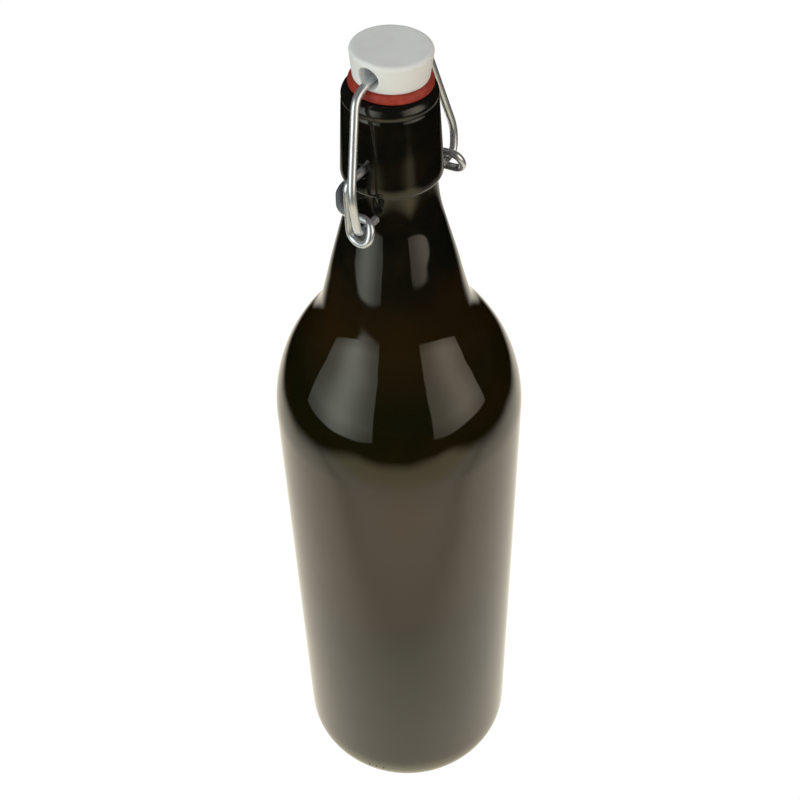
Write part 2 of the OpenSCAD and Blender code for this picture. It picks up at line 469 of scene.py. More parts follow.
def mesh_object(
    name: str,
    points: np.ndarray,
    faces: Sequence[Sequence[int]],
    edges: Sequence[Sequence[int]] = (),
) -> Obj:
    """Makes a mesh object at the origin.

    Args:
        name: the object's name.
        points: vertices in millimetres.
        faces: vertex numbers of each face.
        edges: vertex numbers of loose edges.
    Returns:
        The new object, in the scene.
    """
    mesh = bpy.data.meshes.new(name)
    mesh.from_pydata((np.asarray(points) * MM).tolist(), list(edges), [list(f) for f in faces])
    mesh.update()
    obj = bpy.data.objects.new(name, mesh)
    bpy.context.scene.collection.objects.link(obj)
    return obj


def shade(obj: Obj, material: Material, sharp_deg: float = 180.0) -> None:
    """Gives an object its material and smooth shading.

    Args:
        obj: the object.
        material: its only material.
        sharp_deg: edges bent more than this stay sharp.
    """
    obj.data.materials.clear()
    obj.data.materials.append(material)
    obj.data.shade_smooth()
    if sharp_deg < 180.0:
        obj.data.set_sharp_from_angle(angle=math.radians(sharp_deg))


def bake_modifiers(obj: Obj) -> None:
    """Turns the evaluated object into a plain mesh and removes its modifiers.

    Args:
        obj: the object.
    """
    graph = bpy.context.evaluated_depsgraph_get()
    made = bpy.data.meshes.new_from_object(
        obj.evaluated_get(graph), preserve_all_data_layers=True, depsgraph=graph
    )
    obj.modifiers.clear()
    old = obj.data
    obj.data = made
    made.name = obj.name
    bpy.data.meshes.remove(old)


def store_values(obj: Obj, name: str, values: Sequence[float]) -> None:
    """Stores one number per vertex on a mesh."""
    store = obj.data.attributes.new(name, "FLOAT", "POINT")
    store.data.foreach_set("value", np.array(values, np.float32))


def cut_away(obj: Obj, cutter: Obj) -> None:
    """Adds a modifier that takes the cutter's volume out of an object.

    Args:
        obj: the object.
        cutter: a closed mesh, kept until the modifier is baked.
    """
    cut = obj.modifiers.new("cut_away", "BOOLEAN")
    cut.operation = "DIFFERENCE"
    cut.solver = "EXACT"
    cut.object = cutter


def arc(centre: Pair, r: float, start: float, end: float, steps: int) -> List[Pair]:
    """Points of an arc in the (radius, height) plane.

    Args:
        centre: its centre.
        r: its radius.
        start: angle of the first point, in degrees.
        end: angle of the last point, in degrees.
        steps: number of chords.
    Returns:
        Its points.
    """
    turns = np.radians(np.linspace(start, end, steps + 1))
    return [(centre[0] + r * math.cos(t), centre[1] + r * math.sin(t)) for t in turns]


def line(a: Pair, b: Pair, step: float) -> List[Pair]:
    """Points strictly between two others.

    Args:
        a: the point they come after.
        b: the point they stop before.
        step: about how far apart they are.
    Returns:
        The points between.
    """
    count = max(1, round(math.dist(a, b) / step))
    return [
        (a[0] + (b[0] - a[0]) * i / count, a[1] + (b[1] - a[1]) * i / count)
        for i in range(1, count)
    ]


def lathe(
    section: Sequence[Pair],
    turns: Sequence[float],
    shape: Optional[Callable[[np.ndarray], np.ndarray]] = None,
) -> Tuple[np.ndarray, List[List[int]]]:
    """Turns a section round the Z axis.

    Args:
        section: (radius, height) points. A first or last radius of 0 closes there with a pole, and
            otherwise the section closes on itself.
        turns: angles of the columns, in radians, rising through one turn.
        shape: moves the finished points.
    Returns:
        Vertices and faces, pointing outwards for a section that runs up its outside.
    """
    closed = section[0][0] > 0
    rings = list(section) if closed else list(section[1:-1])
    n = len(turns)
    cos, sin = np.cos(turns), np.sin(turns)
    points = np.concatenate([np.stack([r * cos, r * sin, np.full(n, z)], 1) for r, z in rings])
    faces: List[List[int]] = []
    last = len(rings)
    for i in range(last if closed else last - 1):
        a, b = i * n, ((i + 1) % last) * n
        for j in range(n):
            k = (j + 1) % n
            faces.append([a + j, a + k, b + k, b + j])
    if not closed:
        low, high = len(points), len(points) + 1
        points = np.concatenate([points, [[0, 0, section[0][1]], [0, 0, section[-1][1]]]])
        top = (last - 1) * n
        for j in range(n):
            k = (j + 1) % n
            faces.append([low, k, j])
            faces.append([high, top + j, top + k])
    return (shape(points) if shape else points), faces


def even_turns(count: int) -> np.ndarray:
    """Angles of evenly spaced columns."""
    return np.arange(count) * math.tau / count


@dataclass
class GlassBottle:
    """The blown bottle, with its pivot dimples, mould seams and heel dots.

    Sizes are in millimetres. A Profile is a row of heights and a row of values there.
    """

    finish: GlassFinish = field(default_factory=GlassFinish)
    body_r: float = 42.0
    straight_top: float = 194.6
    heel_r: float = 13.0
    foot_r: float = 0.7
    wall: float = 3.6
    bottom: float = 5.0
    ring_w: float = 6.0
    punt: float = 3.0
    shoulder_r: float = 60.0
    waist_r: float = 30.0
    slope: float = 14.6
    blend_r: float = 60.0
    neck_len: float = 95.4
    neck_straight: float = 1.2
    neck_r: float = 13.4
    collar_h: float = 29.2
    collar_r: float = 15.2
    collar_top_r: float = 13.75
    collar_edge_r: float = 1.2
    lip_r: float = 3.0
    lip_inner_r: float = 1.4
    mouth_r: float = 8.4
    groove: float = 0.11
    pivot_drop: float = 21.2
    socket_depth: float = 2.9
    socket_r: float = 1.95
    dimple_r: float = 3.6
    dimple_depth: float = 0.26667
    seam_deg: float = 17.4
    seam_w: float = 0.3
    seam: Profile = ((8, 30, 285, 293, 297, 318), (0, 0.003, 0.003, 0.008, 0.014, 0.008))
    ripple: float = 0.05
    ripple_rate: float = 0.075
    calm: Profile = ((6, 30, 196, 215, 285, 292), (0, 0.5, 0.6, 1, 1, 0.5))
    # The blown wall sags a little in the waist: its radius changes by this slope round sag_z, and
    # the profile fades the change out.
    sag: float = 0.022
    sag_z: float = 252.5
    sag_w: float = 5.5
    sag_fade: Profile = ((222, 244, 256, 290), (0, 1, 1, 0))
    dots_deg: Row = (12.1, 16.3, 20.5)
    dot_r: float = 0.45
    dot_z: float = 12.1

    def __post_init__(self) -> None:
        """Works out the heights of the collar, lip and pivots."""
        self.blend_z = self.straight_top + self.neck_len
        self.collar_z = self.blend_z + self.neck_straight
        self.lip_z = self.collar_z + self.collar_h
        self.pivot_z = self.lip_z - self.pivot_drop
        self.outer_count = 0

    def flank(self, inset: float, fine: float) -> List[Pair]:
        """Shoulder, waist and neck, from the body up.

        Args:
            inset: depth inside the outer surface.
            fine: multiplies the number of points.
        Returns:
            Section points.
        """
        a = math.radians(self.slope)
        down = (math.sin(a), -math.cos(a))
        out = (math.cos(a), math.sin(a))
        shoulder = (self.body_r - self.shoulder_r, self.straight_top)
        start = (
            self.neck_r + self.blend_r * (1 - math.cos(a)),
            self.blend_z - self.blend_r * math.sin(a),
        )
        w = (
            start[0] + self.waist_r * out[0] - shoulder[0],
            start[1] + self.waist_r * out[1] - shoulder[1],
        )
        along = w[0] * down[0] + w[1] * down[1]
        reach = self.shoulder_r + self.waist_r
        t = -along - math.sqrt(along**2 - w[0] ** 2 - w[1] ** 2 + reach**2)
        waist = (shoulder[0] + w[0] + down[0] * t, shoulder[1] + w[1] + down[1] * t)
        end = math.degrees(math.atan2(waist[1] - shoulder[1], waist[0] - shoulder[0]))
        low = arc(shoulder, self.shoulder_r - inset, 0, end, round(30 * fine))
        bend = arc(waist, self.waist_r + inset, 180 + end, 180 + self.slope, round(14 * fine))
        top = arc(
            (self.neck_r + self.blend_r, self.blend_z),
            self.blend_r + inset,
            180 + self.slope,
            180,
            round(10 * fine),
        )
        return low + bend[1:] + line(bend[-1], top[0], 2.2 / fine) + top

    def outside(self) -> List[Pair]:
        """Outer section, from the middle of the punt to the lip.

        Returns:
            Section points.
        """
        flat = self.body_r - self.heel_r
        punt_r = flat - self.ring_w
        sphere = (punt_r**2 + self.punt**2) / (2 * self.punt)
        hollow = [
            (punt_r * t, self.punt - sphere + math.sqrt(sphere**2 - (punt_r * t) ** 2))
            for t in np.linspace(0, 1, 9)
        ]
        foot = arc((punt_r + self.foot_r, self.foot_r), self.foot_r, 160, 270, 4)
        heel = arc((flat, self.heel_r), self.heel_r, -90, 0, 18)
        side = line(heel[-1], (self.body_r, self.straight_top), 10)
        under_collar = [
            (self.neck_r, self.collar_z - 0.35),
            (self.neck_r + 0.12, self.collar_z - 0.08),
        ]
        return hollow[:-1] + foot + heel + side + self.flank(0, 1) + under_collar + self.collar()

    def collar(self) -> List[Pair]:
        """Outer section of the collar: its wall has close rows at the pivots.

        Returns:
            Section points, from the collar's edge up to the lip.
        """
        top_r, edge_r, lip_r = self.collar_top_r, self.collar_edge_r, self.lip_r
        edge = arc((self.collar_r - edge_r, self.collar_z + edge_r), edge_r, -90, 0, 6)
        groove_z = self.lip_z - lip_r - 1
        wide = (self.collar_r - 0.16, self.collar_z + self.collar_h * 0.13)
        under = (top_r + 0.12, groove_z - 1.2)
        rows = np.concatenate(
            [
                np.arange(wide[1], self.pivot_z - 3.2, 0.8),
                np.arange(self.pivot_z - 3.1, self.pivot_z + 3.2, 0.2),
                np.arange(self.pivot_z + 3.9, under[1], 0.9),
            ]
        )
        radii = np.interp(rows, [wide[1], under[1]], [wide[0], under[0]])
        wall = [(float(r), float(z)) for r, z in zip(radii, rows)] + [under]
        ring = [
            (top_r + 0.02, groove_z - 0.7),
            (top_r - self.groove * 0.8, groove_z - 0.25),
            (top_r - self.groove, groove_z),
            (top_r - self.groove * 0.7, groove_z + 0.25),
            (top_r - 0.03, groove_z + 0.6),
        ]
        return edge + wall + ring + arc((top_r - lip_r, self.lip_z - lip_r), lip_r, 0, 90, 12)

    def inside(self) -> List[Pair]:
        """Inner section, from the lip down to the middle of the bottom.

        Returns:
            Section points.
        """
        heel = self.heel_r - self.wall + 2
        bore_end = self.collar_z + 4
        inner_r = self.lip_inner_r
        lip = arc((self.mouth_r + inner_r, self.lip_z - inner_r), inner_r, 90, 180, 7)
        bore = line(lip[-1], (self.mouth_r, bore_end), 5)
        neck = [(self.mouth_r, bore_end), (self.neck_r - self.wall, self.collar_z - 1)]
        flank = self.flank(self.wall, 0.5)[::-1]
        corner = arc((self.body_r - self.wall - heel, self.bottom + heel), heel, 0, -90, 10)
        side = line(flank[-1], corner[0], 15)
        floor = [(12.0, self.bottom), (0.0, self.bottom)]
        return lip + bore + neck + flank + side + corner + floor

    def columns(self) -> np.ndarray:
        """Angles of the columns: close together at the dimples and the seams.

        Returns:
            Angles in radians, rising.
        """
        fine: List[float] = list(np.arange(0, 360, 2.0))
        for centre in (0.0, 180.0):
            fine += list(centre + np.arange(-12.6, 12.61, 0.7))
        for centre in (self.seam_deg, self.seam_deg + 180):
            fine += list(centre + np.arange(-2.4, 2.41, 0.3))
        turns = np.sort(np.unique(np.round(np.mod(fine, 360), 3)))
        keep = [turns[0]]
        for t in turns[1:]:
            if t - keep[-1] > 0.28:
                keep.append(t)
        return np.radians(np.array(keep))

    def dish(self, d: np.ndarray) -> np.ndarray:
        """Depth of the shallow dish round a pivot socket, at a distance from its axis."""
        t = np.clip(1 - d / self.dimple_r, 0, 1)
        return self.dimple_depth * t * t * (3 - 2 * t)

    def drill(self, glass: Obj) -> None:
        """Cuts the two blind sockets that hold the lever's pins.

        Args:
            glass: the bottle.
        """
        reach, deep, r = self.collar_r + 1, self.collar_r - self.socket_depth, self.socket_r
        section = [
            (0.0, deep),
            (r - 0.9, deep),
            (r - 0.3, deep + 0.3),
            (r, deep + 1),
            (r, self.collar_r - 0.55),
            (r + 0.2, self.collar_r - 0.3),
            (r + 0.5, reach),
            (0.0, reach),
        ]
        points, faces = lathe(section, even_turns(40))
        for side in (1, -1):
            x, y, z = points[:, 2] * side, points[:, 1] * side, self.pivot_z - points[:, 0]
            cutter = mesh_object("socket_cutter", np.stack([x, y, z], 1), faces)
            cut_away(glass, cutter)
            bake_modifiers(glass)
            bpy.data.objects.remove(cutter)

    def mould(self, points: np.ndarray) -> np.ndarray:
        """Adds ripple, sag, mould seams and pivot dimples to the outer surface.

        Args:
            points: vertices, those of the outer surface first.
        Returns:
            The moved vertices.
        """
        r = np.hypot(points[:, 0], points[:, 1])
        z = points[:, 2]
        turn = np.arctan2(points[:, 1], points[:, 0])
        outer = np.arange(len(points)) < self.outer_count
        blown = outer & (z > 6) & (z < self.lip_z - 2.0) & (r > 5)
        push = np.zeros(len(points))
        spots = (points[blown] * self.ripple_rate).tolist()
        wave = np.array([noise.noise(Vector(p)) for p in spots])
        push[blown] += self.ripple * wave * np.interp(z[blown], *self.calm)
        height = np.interp(z, *self.seam)
        for centre in (self.seam_deg, self.seam_deg + 180):
            gap = np.mod(turn - math.radians(centre) + math.pi, math.tau) - math.pi
            push += np.where(blown, height * np.exp(-((gap * r / self.seam_w) ** 2)), 0)
        push += np.where(blown, np.interp(z, *self.drift()), 0)
        direction = np.stack([np.cos(turn), np.sin(turn), np.zeros(len(points))], 1)
        moved = points + direction * push[:, None]
        window = self.dimple_r + 1
        near = outer & (np.abs(z - self.pivot_z) < window) & (np.abs(points[:, 1]) < window)
        d = np.hypot(moved[near, 1], z[near] - self.pivot_z)
        moved[near, 0] -= np.sign(moved[near, 0]) * self.dish(d)
        return moved

    def drift(self) -> Tuple[np.ndarray, np.ndarray]:
        """Heights, and how far the sag pushes the wall out there.

        Returns:
            The two rows.
        """
        low, high = self.sag_fade[0][0], self.sag_fade[0][-1]
        step = 0.5
        heights = np.linspace(low, high, round((high - low) / step) + 1)
        slope = self.sag * np.exp(-(((heights - self.sag_z) / self.sag_w) ** 2))
        out = np.cumsum(slope) * step
        return heights, (out - out[-1] / 2) * np.interp(heights, *self.sag_fade)

    def build(self) -> List[Obj]:
        """Makes the glass and its heel dots, and puts them on the bottle's body.

        Returns:
            The two pieces.
        """
        outside, inside = self.outside(), self.inside()
        turns = self.columns()
        self.outer_count = (len(outside) - 1) * len(turns)
        points, faces = lathe(outside + inside[1:], turns, self.mould)
        glass = mesh_object("glass_shell", points, faces)
        self.drill(glass)
        material = self.finish.material()
        shade(glass, material, 50)
        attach(glass, Body.BOTTLE.value)
        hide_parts("glass_bottle")
        LOG.info("glass_shell: %d faces", len(faces))
        return [glass, self.heel_dots(material)]

    def heel_dots(self, material: Material) -> Obj:
        """Three small mould dots in a row on the heel.

        Args:
            material: the glass.
        Returns:
            The piece.
        """
        r = self.body_r - self.heel_r * (1 - math.cos(math.radians(7.0)))
        turns = [math.radians(deg) for deg in self.dots_deg]
        dots = [(r * math.cos(t), r * math.sin(t), self.dot_z) for t in turns]
        base = mesh_object("heel_dots", np.array(dots), [])
        tree = GeometryGraph("scatter_dots", {"Dot radius": self.dot_r * MM, "Rings": 8})
        ball = tree.node(
            "GeometryNodeMeshUVSphere",
            {"Segments": 14, "Rings": tree.value("Rings"), "Radius": tree.value("Dot radius")},
        )
        placed = tree.node(
            "GeometryNodeInstanceOnPoints", {"Points": tree.geometry, "Instance": ball.outputs[0]}
        )
        tree.finish(base, placed.outputs[0], material)
        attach(base, Body.BOTTLE.value)
        LOG.info("heel_dots: %d faces", len(base.data.polygons))
        return base


class GeometryGraph(NodeGraph):
    """A Geometry Nodes tree with named number inputs, which ends by setting a material."""

    def __init__(self, name: str, sizes: Dict[str, Union[float, int]]) -> None:
        """Makes the tree and its inputs.

        Args:
            name: the tree's name.
            sizes: its named inputs and their values.
        """
        super().__init__(bpy.data.node_groups.new(name, "GeometryNodeTree"))
        self.sizes = sizes
        self.names: Dict[str, str] = {}
        face = self.tree.interface
        face.new_socket("Geometry", in_out="INPUT", socket_type="NodeSocketGeometry")
        for key, value in sizes.items():
            kind = "NodeSocketInt" if isinstance(value, int) else "NodeSocketFloat"
            self.names[key] = face.new_socket(key, in_out="INPUT", socket_type=kind).identifier
        face.new_socket("Geometry", in_out="OUTPUT", socket_type="NodeSocketGeometry")
        self.start = self.tree.nodes.new("NodeGroupInput")
        self.geometry = self.start.outputs[0]

    def value(self, key: str) -> Socket:
        """The socket of a named input."""
        return self.start.outputs[key]

    def store(self, geometry: Socket, name: str, value: Socket) -> Socket:
        """Stores a number per point, and gives the geometry that holds it."""
        inputs = {"Geometry": geometry, "Name": name, "Value": value}
        return self.node("GeometryNodeStoreNamedAttribute", inputs).outputs[0]

    def finish(self, obj: Obj, result: Socket, material: Material) -> None:
        """Runs the tree on an object and leaves a plain mesh.

        Args:
            obj: carries the tree's input geometry.
            result: the tree's last geometry.
            material: what the result is made of.
        """
        real = self.node("GeometryNodeRealizeInstances", {"Geometry": result})
        smooth = self.node("GeometryNodeSetShadeSmooth", {0: real.outputs[0]})
        inputs = {"Geometry": smooth.outputs[0], "Material": material}
        dressed = self.node("GeometryNodeSetMaterial", inputs)
        self.node("NodeGroupOutput", {"Geometry": dressed.outputs[0]})
        modifier = obj.modifiers.new("shape", "NODES")
        modifier.node_group = self.tree
        for key, value in self.sizes.items():
            modifier[self.names[key]] = value
        bake_modifiers(obj)


def set_askew(obj: Obj) -> None:
    """Leans and shifts a piece of the plug, as a squeezed gasket lets it sit.

    Args:
        obj: the piece.
    """
    across = Vector(LEAN_TO)
    seat = Vector((0, 0, SEAT_Z * MM))
    turn = Matrix.Rotation(math.radians(-LEAN_DEG), 4, across.cross(Vector((0, 0, 1))))
    move = Matrix.Translation(seat + across * (SHIFT * MM)) @ turn @ Matrix.Translation(-seat)
    obj.data.transform(move)


@dataclass
class Stopper:
    """The white stopper with its flared cross hole. Sizes in millimetres."""

    finish: StopperFinish = field(default_factory=StopperFinish)
    base_z: float = 322.95
    head_r: float = 11.7
    head_h: float = 8.78
    draft: float = 0.9
    edge_r: float = 1.1
    groove_r: float = 5.75
    gasket_z: float = 320.95
    stem_r: float = 7.1
    stem_len: float = 6.0
    stem_taper: float = 1.8
    hole_r: float = 2.6
    flare_r: float = 4.1
    flare_depth: float = 3.4
    flare_curve: float = 1.6
    hole_z: float = 326.65
    voxel: float = 0.21

    def section(self) -> List[Pair]:
        """Outline of the head, groove and stem, from the bottom up.

        Returns:
            Section points.
        """
        top = self.base_z + self.head_h
        foot = self.gasket_z - self.stem_len
        low_r = self.head_r - self.draft
        edge = arc((self.head_r - self.edge_r, top - self.edge_r), self.edge_r, 0, 90, 8)
        return [
            (0, foot),
            (self.stem_r - self.stem_taper - 1, foot),
            (self.stem_r - self.stem_taper, foot + 1),
            (self.stem_r, self.gasket_z - 1),
            (self.stem_r - 0.4, self.gasket_z),
            (self.groove_r, self.gasket_z),
            (self.groove_r, self.base_z),
            (low_r - 0.3, self.base_z),
            (low_r, self.base_z + 0.3),
        ] + edge + [(0, top)]

    def hole_cutter(self) -> Obj:
        """The cross hole as a turned body lying along X, flared like a trumpet at both ends.

        Returns:
            The cutter.
        """
        past = 0.6
        reach = self.head_r + past
        half: List[Pair] = []
        for t in np.linspace(0, 1, 12):
            widening = (self.flare_r + 0.12 - self.hole_r) * (1 - t) ** self.flare_curve
            half.append((self.hole_r + widening, reach - (self.flare_depth + past) * t))
        low = [(r, -x) for r, x in half]
        points, faces = lathe([(0.0, -reach)] + low + half[::-1] + [(0.0, reach)], even_turns(64))
        turned = np.stack([points[:, 2], points[:, 1], self.hole_z - points[:, 0]], 1)
        return mesh_object("hole_cutter", turned, faces)

    def build(self) -> Obj:
        """Makes the stopper with softened edges and puts it on the plug's body.

        Returns:
            The piece.
        """
        points, faces = lathe(self.section(), even_turns(128))
        stopper = mesh_object("stopper_plug", points, faces)
        cutter = self.hole_cutter()
        cut_away(stopper, cutter)
        remesh = stopper.modifiers.new("soften", "REMESH")
        remesh.mode = "VOXEL"
        remesh.voxel_size = self.voxel * MM
        smooth = stopper.modifiers.new("smooth", "SMOOTH")
        smooth.factor = 0.5
        smooth.iterations = 7
        bake_modifiers(stopper)
        bpy.data.objects.remove(cutter)
        set_askew(stopper)
        shade(stopper, self.finish.material())
        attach(stopper, Body.PLUG.value)
        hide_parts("stopper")
        LOG.info("stopper_plug: %d faces", len(stopper.data.polygons))
        return stopper


@dataclass
class Gasket:
    """The rubber ring under the head, bulged where it is squeezed. Sizes in millimetres."""

    finish: RubberFinish = field(default_factory=RubberFinish)
    inner_r: float = 5.8
    low_z: float = 320.95
    top_z: float = 322.95
    low_r: float = 12.1
    top_r: float = 11.4
    squeeze: float = 0.5
    # The underside slopes down between these radii and is flat outside them.
    slope_r: Pair = (7.3, 9.4)

    def build(self) -> Obj:
        """Makes the gasket and puts it on the plug's body.

        Returns:
            The piece.
        """
        seat = self.low_z - self.squeeze
        slope_in, slope_out = self.slope_r
        section = [
            (self.inner_r, self.top_z),
            (self.inner_r, self.low_z + 0.1),
            (slope_in, self.low_z),
            (slope_out - 0.8, seat + 0.25),
            (slope_out, seat),
            (self.low_r - 0.75, seat),
            (self.low_r - 0.3, seat + 0.12),
            (self.low_r - 0.04, seat + 0.4),
            (self.low_r, seat + 0.8),
            (self.low_r - 0.1, seat + 1.4),
            (self.top_r + 0.2, self.top_z - 0.4),
            (self.top_r, self.top_z - 0.12),
            (self.top_r - 0.3, self.top_z),
        ]
        points, faces = lathe(section, even_turns(160))
        gasket = mesh_object("rubber_gasket", points, faces)
        set_askew(gasket)
        shade(gasket, self.finish.material(), 60)
        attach(gasket, Body.PLUG.value)
        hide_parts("gasket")
        LOG.info("rubber_gasket: %d faces", len(faces))
        return gasket


@dataclass
class BentWire:
    """A wire: straights joined by bends, softened and swept as a tube. Sizes in millimetres.

    Its +X half is given from the tip to the middle. The -X half mirrors it, apart from the corners
    in other, which are written as if they lay on the +X side too.
    """

    name: str
    node: str
    body: Body
    slot: Slot
    half: Sequence[Point]
    bends: Sequence[float]
    other: Dict[int, Point]
    bow: Optional[Point]
    bow_bend: float
    radius: float = 1.2
    tip: float = 0.78
    step: float = 0.3
    soften: float = 1.0

    def route(self) -> np.ndarray:
        """Centre line from one tip to the other, evenly stepped.

        Returns:
            Points in millimetres.
        """
        far = [self.other.get(i, p) for i, p in enumerate(self.half)]
        mirrored = [(-x, y, z) for x, y, z in reversed(far)]
        middle = [self.bow] if self.bow else []
        points = [np.array(p, float) for p in [*self.half, *middle, *mirrored]]
        radii = [*self.bends, *([self.bow_bend] if self.bow else []), *reversed(self.bends)]
        track: List[np.ndarray] = [points[0]]
        for a, b, c, r in zip(points, points[1:], points[2:], radii[1:]):
            u, v = (b - a) / np.linalg.norm(b - a), (c - b) / np.linalg.norm(c - b)
            angle = math.acos(float(np.clip(u @ v, -1, 1)))
            start = b - u * r * math.tan(angle / 2)
            axis = np.cross(u, v)
            inward = np.cross(axis / np.linalg.norm(axis), u)
            for t in np.linspace(0, angle, 16):
                track.append(start + inward * r * (1 - math.cos(t)) + u * r * math.sin(t))
        track.append(points[-1])
        return self.even(self.relax(self.even(np.array(track))))

    def even(self, track: np.ndarray) -> np.ndarray:
        """The same line with evenly spaced points.

        Args:
            track: points of a line.
        Returns:
            Its new points.
        """
        run = np.concatenate([[0], np.cumsum(np.linalg.norm(np.diff(track, axis=0), axis=1))])
        places = np.linspace(0, run[-1], round(run[-1] / self.step) + 1)
        return np.stack([np.interp(places, run, track[:, i]) for i in range(3)], 1)

    def relax(self, track: np.ndarray) -> np.ndarray:
        """Softens where straights meet bends, keeping the two tips in place.

        Args:
            track: evenly spaced points.
        Returns:
            As many moved points.
        """
        width = int(3 * self.soften / self.step)
        kernel = np.exp(-0.5 * (np.arange(-width, width + 1) * self.step / self.soften) ** 2)
        kernel /= kernel.sum()
        lead = 2 * track[0] - track[width:0:-1]
        tail = 2 * track[-1] - track[-2 : -width - 2 : -1]
        longer = np.concatenate([lead, track, tail])
        return np.stack([np.convolve(longer[:, i], kernel, "valid") for i in range(3)], 1)

    def build(self) -> Obj:
        """Sweeps the wire and puts it on its body.

        Returns:
            The piece.
        """
        track = self.route()
        wire = mesh_object(self.name, track, [], [(i, i + 1) for i in range(len(track) - 1)])
        taper = np.ones(len(track))
        taper[[0, -1]] = self.tip
        store_values(wire, "taper", taper)
        tree = GeometryGraph("sweep_" + self.name, {"Wire radius": self.radius * MM, "Sides": 28})
        curve = tree.node("GeometryNodeMeshToCurve", {"Mesh": tree.geometry})
        place = tree.node("GeometryNodeSplineParameter")
        along = tree.store(curve.outputs[0], "along", place.outputs["Length"])
        circle = tree.node(
            "GeometryNodeCurvePrimitiveCircle",
            {"Resolution": tree.value("Sides"), "Radius": tree.value("Wire radius")},
        )
        around = tree.store(circle.outputs[0], "around", place.outputs["Factor"])
        narrow = tree.node(
            "GeometryNodeInputNamedAttribute", {"Name": "taper"}, data_type="FLOAT"
        )
        sweep = tree.node(
            "GeometryNodeCurveToMesh",
            {
                "Curve": along,
                "Profile Curve": around,
                "Scale": narrow.outputs["Attribute"],
                "Fill Caps": True,
            },
        )
        tree.finish(wire, sweep.outputs[0], SteelFinish(self.slot.value).material())
        wire.data.set_sharp_from_angle(angle=math.radians(50))
        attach(wire, self.body.value)
        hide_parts(self.node)
        LOG.info("%s: %d faces", self.name, len(wire.data.polygons))
        return wire


@dataclass
class Toggle:
    """The bail through the stopper and the lever round the neck. Sizes in millimetres."""

    pivot_z: float = 299.2
    eye_y: float = 4.8
    eye_z: float = 284.8
    bail_z: float = 325.77
    eye_back: float = 0.4
    eye_front: float = 7.5
    eye_low: float = 280.6
    eye_top: float = 288.3
    arm_x: float = 21.6
    inner_x: float = 19.2
    hook_x: float = 23.8
    leg_x: float = 25.9
    kink: float = 14.5

    def bail(self) -> BentWire:
        """The upper wire, from its hooked ends to the stopper's cross hole.

        Returns:
            The wire.
        """
        return BentWire(
            "bail_arch",
            "bail_wire",
            Body.BAIL,
            Slot.BAIL,
            half=[
                (self.hook_x - 9, self.eye_y, self.eye_z),
                (self.hook_x, self.eye_y, self.eye_z),
                (self.leg_x, self.eye_y, self.eye_z + self.kink),
                (15.8, 0, self.bail_z - 2.2),
                (9.3, 0, self.bail_z),
            ],
            bends=[0, 2.6, 14, 5.4, 6],
            other={
                0: (self.hook_x - 8.4, self.eye_y + 0.3, self.eye_z - 0.5),
                1: (self.hook_x + 1.2, self.eye_y + 0.3, self.eye_z - 0.5),
                2: (self.leg_x + 0.8, 4.1, 291.6),
                3: (17.6, 0.1, self.bail_z - 3.2),
            },
            bow=None,
            bow_bend=0,
        )

    def lever(self) -> BentWire:
        """The lower wire, from its pivot pins through the eyes to the bow.

        Returns:
            The wire.
        """
        return BentWire(
            "lever_bow",
            "lever_wire",
            Body.LEVER,
            Slot.LEVER,
            half=[
                (12.6, 0, self.pivot_z),
                (self.arm_x, 0, self.pivot_z),
                (self.arm_x + 0.4, self.eye_back, self.eye_low),
                (self.arm_x + 1.5, self.eye_front, self.eye_low),
                (self.inner_x + 1, self.eye_front, self.eye_top),
                (self.inner_x, -4.9, self.pivot_z - 13.1),
                (10.3, -12, self.pivot_z - 15.1),
            ],
            bends=[0, 2, 3, 3, 3, 11, 13],
            other={
                3: (self.arm_x + 1.9, 10.2, self.eye_low),
                4: (self.inner_x + 1.4, 9.8, self.eye_top - 0.4),
            },
            bow=(0, -18, self.pivot_z - 20.4),
            bow_bend=8,
            soften=0.8,
        )

    def build(self) -> List[Obj]:
        """Makes both wires."""
        return [self.bail().build(), self.lever().build()]


@dataclass(frozen=True)
class Softbox:
    """An upright lit panel that faces the bottle's axis. Sizes in metres, angles in degrees.

    Its left and right edges, and its hottest line, lie at the azimuths given.
    """

    name: str
    azimuth: float
    left: float
    right: float
    hot: float
    low: float
    high: float
    glow: float
    peak: float
    tint: Colour
    distance: float = 0.70
    hot_w: float = 0.32
    fade: float = 0.03
    # How bright the foot is, and the share of the height over which it brightens.
    foot: float = 0.62
    foot_h: float = 0.2

    def build(self) -> Obj:
        """Adds the panel, brightest along its hottest line and fading towards its foot.

        Returns:
            The panel.
        """
        left, right, hot = (
            math.tan(math.radians(v - self.azimuth)) for v in (self.left, self.right, self.hot)
        )
        a = math.radians(self.azimuth)
        out, level = Vector((math.sin(a), -math.cos(a), 0)), Vector((math.cos(a), math.sin(a), 0))
        across, up = (left, right, right, left), (0, 0, 1, 1)
        points = []
        for u, v in zip(across, up):
            spot = (out + level * u) * self.distance
            points.append((spot.x / MM, spot.y / MM, (self.low, self.high)[v] / MM))
        panel = mesh_object(self.name, np.array(points), [[0, 1, 2, 3]])
        store_values(panel, "across", across)
        store_values(panel, "up", up)
        g = ShaderGraph(self.name)
        u, v = g.attribute("across"), g.attribute("up")
        edge = (u - left).step(0, self.fade) * (right - u).step(0, self.fade) * v.step(0, 0.02)
        foot = self.foot + v.step(0, self.foot_h) * (1 - self.foot)
        light = (self.glow + ((u - hot) / self.hot_w).bell() * self.peak) * edge * foot
        shine = g.node("ShaderNodeEmission", {"Color": (*self.tint, 1.0), "Strength": light})
        g.node("ShaderNodeOutputMaterial", {"Surface": shine.outputs[0]})
        panel.data.materials.append(g.material)
        panel.visible_camera = False
        return panel


